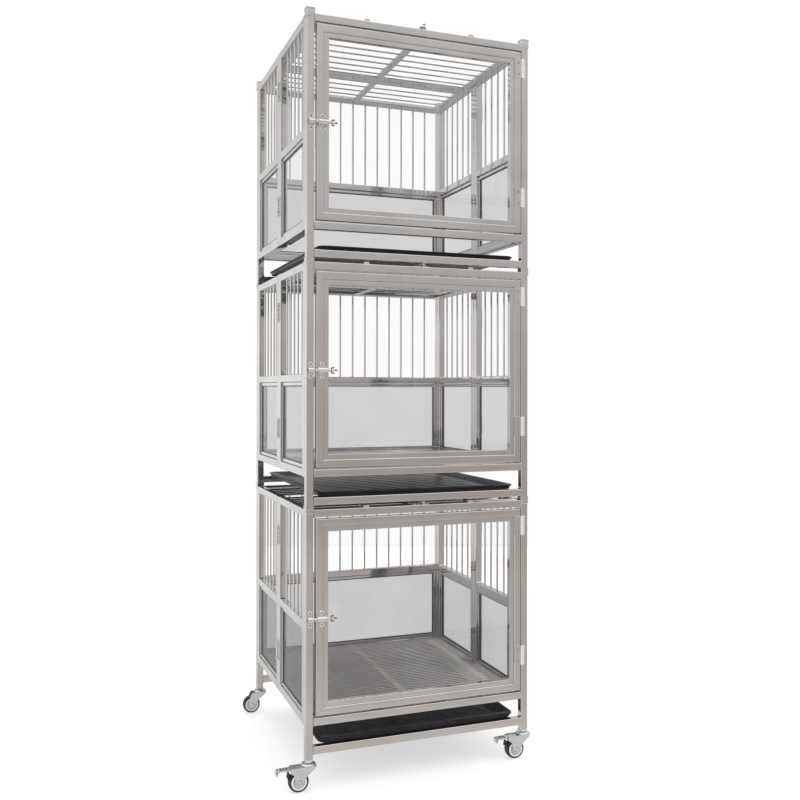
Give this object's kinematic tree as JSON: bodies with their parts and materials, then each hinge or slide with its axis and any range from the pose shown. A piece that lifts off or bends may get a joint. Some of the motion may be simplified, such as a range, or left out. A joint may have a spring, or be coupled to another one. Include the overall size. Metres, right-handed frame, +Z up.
{
  "type": "kennel cage",
  "caption": "Tall stacked stainless steel kennel cage on casters, with glazed swing doors, barred walls, roof hatch and pull-out trays.",
  "frame": {"origin": "on the floor, under the middle of the box round the whole cage, its casters and its brake pedals", "axes": "+Z up; -Y is the front with the doors; +X to the right seen from the front"},
  "size_m": [0.6794, 0.6115, 1.888],
  "materials": {
    "polished_steel": "bright polished stainless square tube",
    "rod_steel": "polished stainless rod and flat bar",
    "fittings_steel": "bright pressed stainless fittings",
    "glazing": "clear flat pane",
    "tray_plastic": "black moulded, slight sheen",
    "zinc_plate": "bright zinc plated",
    "hub_plastic": "grey moulded",
    "tyre_rubber": "black, smooth tread",
    "pedal_steel": "zinc-plated pressed lever"
  },
  "bodies": {
    "cage_frame": {"lower_front_frame": "polished_steel", "lower_back_frame": "polished_steel", "lower_left_side_frames": "polished_steel", "lower_right_side_frames": "polished_steel", "lower_side_and_back_glass": "glazing", "lower_roof_grille": "rod_steel", "lower_floor_grille": "rod_steel", "middle_front_frame": "polished_steel", "middle_back_frame": "polished_steel", "middle_left_side_frames": "polished_steel", "middle_right_side_frames": "polished_steel", "middle_side_and_back_glass": "glazing", "middle_roof_grille": "rod_steel", "middle_floor_grille": "rod_steel", "upper_front_frame": "polished_steel", "upper_back_frame": "polished_steel", "upper_left_side_frames": "polished_steel", "upper_right_side_frames": "polished_steel", "upper_side_and_back_glass": "glazing", "upper_roof_grille": "rod_steel", "fixed_hinge_leaves_and_pins": "fittings_steel", "door_latch_keepers": "fittings_steel", "roof_latch_housings": "fittings_steel", "stacking_collars": "polished_steel", "side_fold_hinges": "fittings_steel", "caster_stems": "zinc_plate"},
    "lower_door": {"lower_door_frame": "polished_steel", "lower_door_glass": "glazing", "lower_door_fittings": "fittings_steel"},
    "lower_door_latch": {"lower_door_bolt": "fittings_steel"},
    "lower_roof_latch": {"lower_roof_bolt": "fittings_steel"},
    "lower_tray": {"lower_tray": "tray_plastic"},
    "middle_door": {"middle_door_frame": "polished_steel", "middle_door_glass": "glazing", "middle_door_fittings": "fittings_steel"},
    "middle_door_latch": {"middle_door_bolt": "fittings_steel"},
    "middle_roof_latch": {"middle_roof_bolt": "fittings_steel"},
    "middle_tray": {"middle_tray": "tray_plastic"},
    "upper_door": {"upper_door_frame": "polished_steel", "upper_door_glass": "glazing", "upper_door_fittings": "fittings_steel"},
    "upper_door_latch": {"upper_door_bolt": "fittings_steel"},
    "upper_roof_latch": {"upper_roof_bolt": "fittings_steel"},
    "upper_tray": {"upper_tray": "tray_plastic"},
    "roof_hatch": {"upper_roof_hatch": "rod_steel"},
    "front_left_caster": {"front_left_caster_fork": "zinc_plate"},
    "front_left_wheel": {"front_left_caster_hub": "hub_plastic", "front_left_caster_tyre": "tyre_rubber"},
    "front_left_brake": {"front_left_brake_pedal": "pedal_steel"},
    "front_right_caster": {"front_right_caster_fork": "zinc_plate"},
    "front_right_wheel": {"front_right_caster_hub": "hub_plastic", "front_right_caster_tyre": "tyre_rubber"},
    "front_right_brake": {"front_right_brake_pedal": "pedal_steel"},
    "back_left_caster": {"back_left_caster_fork": "zinc_plate"},
    "back_left_wheel": {"back_left_caster_hub": "hub_plastic", "back_left_caster_tyre": "tyre_rubber"},
    "back_right_caster": {"back_right_caster_fork": "zinc_plate"},
    "back_right_wheel": {"back_right_caster_hub": "hub_plastic", "back_right_caster_tyre": "tyre_rubber"}
  },
  "joints": [
    {"name": "lower_door_hinge", "type": "hinge", "parent": "cage_frame", "child": "lower_door", "pos_m": [0.31275, -0.29645, 0.415], "axis": [0, 0, 1], "range_deg": [0, 170]},
    {"name": "lower_door_latch_slide", "type": "slide", "parent": "lower_door", "child": "lower_door_latch", "axis": [-1, 0, 0], "range_m": [0, 0.0075]},
    {"name": "lower_roof_latch_slide", "type": "slide", "parent": "cage_frame", "child": "lower_roof_latch", "axis": [0, 1, 0], "range_m": [0, 0.008]},
    {"name": "lower_tray_slide", "type": "slide", "parent": "cage_frame", "child": "lower_tray", "axis": [0, -1, 0], "range_m": [0, 0.45]},
    {"name": "middle_door_hinge", "type": "hinge", "parent": "cage_frame", "child": "middle_door", "pos_m": [0.31275, -0.29645, 1.015], "axis": [0, 0, 1], "range_deg": [0, 170]},
    {"name": "middle_door_latch_slide", "type": "slide", "parent": "middle_door", "child": "middle_door_latch", "axis": [-1, 0, 0], "range_m": [0, 0.0075]},
    {"name": "middle_roof_latch_slide", "type": "slide", "parent": "cage_frame", "child": "middle_roof_latch", "axis": [0, 1, 0], "range_m": [0, 0.008]},
    {"name": "middle_tray_slide", "type": "slide", "parent": "cage_frame", "child": "middle_tray", "axis": [0, -1, 0], "range_m": [0, 0.45]},
    {"name": "upper_door_hinge", "type": "hinge", "parent": "cage_frame", "child": "upper_door", "pos_m": [0.31275, -0.29645, 1.615], "axis": [0, 0, 1], "range_deg": [0, 170]},
    {"name": "upper_door_latch_slide", "type": "slide", "parent": "upper_door", "child": "upper_door_latch", "axis": [-1, 0, 0], "range_m": [0, 0.0075]},
    {"name": "upper_roof_latch_slide", "type": "slide", "parent": "cage_frame", "child": "upper_roof_latch", "axis": [0, 1, 0], "range_m": [0, 0.008]},
    {"name": "upper_tray_slide", "type": "slide", "parent": "cage_frame", "child": "upper_tray", "axis": [0, -1, 0], "range_m": [0, 0.45]},
    {"name": "roof_hatch_hinge", "type": "hinge", "parent": "cage_frame", "child": "roof_hatch", "pos_m": [0.03075, 0.05975, 1.867], "axis": [-1, 0, 0], "range_deg": [0, 110]},
    {"name": "front_left_swivel", "type": "hinge", "parent": "cage_frame", "child": "front_left_caster", "pos_m": [-0.25975, -0.28375, 0.066], "axis": [0, 0, 1], "continuous": true},
    {"name": "front_left_roll", "type": "hinge", "parent": "front_left_caster", "child": "front_left_wheel", "pos_m": [-0.28475, -0.28375, 0.025], "axis": [0, 1, 0], "continuous": true},
    {"name": "front_left_brake_press", "type": "hinge", "parent": "front_left_caster", "child": "front_left_brake", "pos_m": [-0.27475, -0.28375, 0.0565], "axis": [0, -1, 0], "range_deg": [0, 10]},
    {"name": "front_right_swivel", "type": "hinge", "parent": "cage_frame", "child": "front_right_caster", "pos_m": [0.32125, -0.28375, 0.066], "axis": [0, 0, 1], "continuous": true},
    {"name": "front_right_roll", "type": "hinge", "parent": "front_right_caster", "child": "front_right_wheel", "pos_m": [0.29625, -0.28375, 0.025], "axis": [0, 1, 0], "continuous": true},
    {"name": "front_right_brake_press", "type": "hinge", "parent": "front_right_caster", "child": "front_right_brake", "pos_m": [0.30625, -0.28375, 0.0565], "axis": [0, -1, 0], "range_deg": [0, 10]},
    {"name": "back_left_swivel", "type": "hinge", "parent": "cage_frame", "child": "back_left_caster", "pos_m": [-0.25975, 0.28725, 0.066], "axis": [0, 0, 1], "continuous": true},
    {"name": "back_left_roll", "type": "hinge", "parent": "back_left_caster", "child": "back_left_wheel", "pos_m": [-0.28475, 0.28725, 0.025], "axis": [0, 1, 0], "continuous": true},
    {"name": "back_right_swivel", "type": "hinge", "parent": "cage_frame", "child": "back_right_caster", "pos_m": [0.32125, 0.28725, 0.066], "axis": [0, 0, 1], "continuous": true},
    {"name": "back_right_roll", "type": "hinge", "parent": "back_right_caster", "child": "back_right_wheel", "pos_m": [0.29625, 0.28725, 0.025], "axis": [0, 1, 0], "continuous": true}
  ]
}
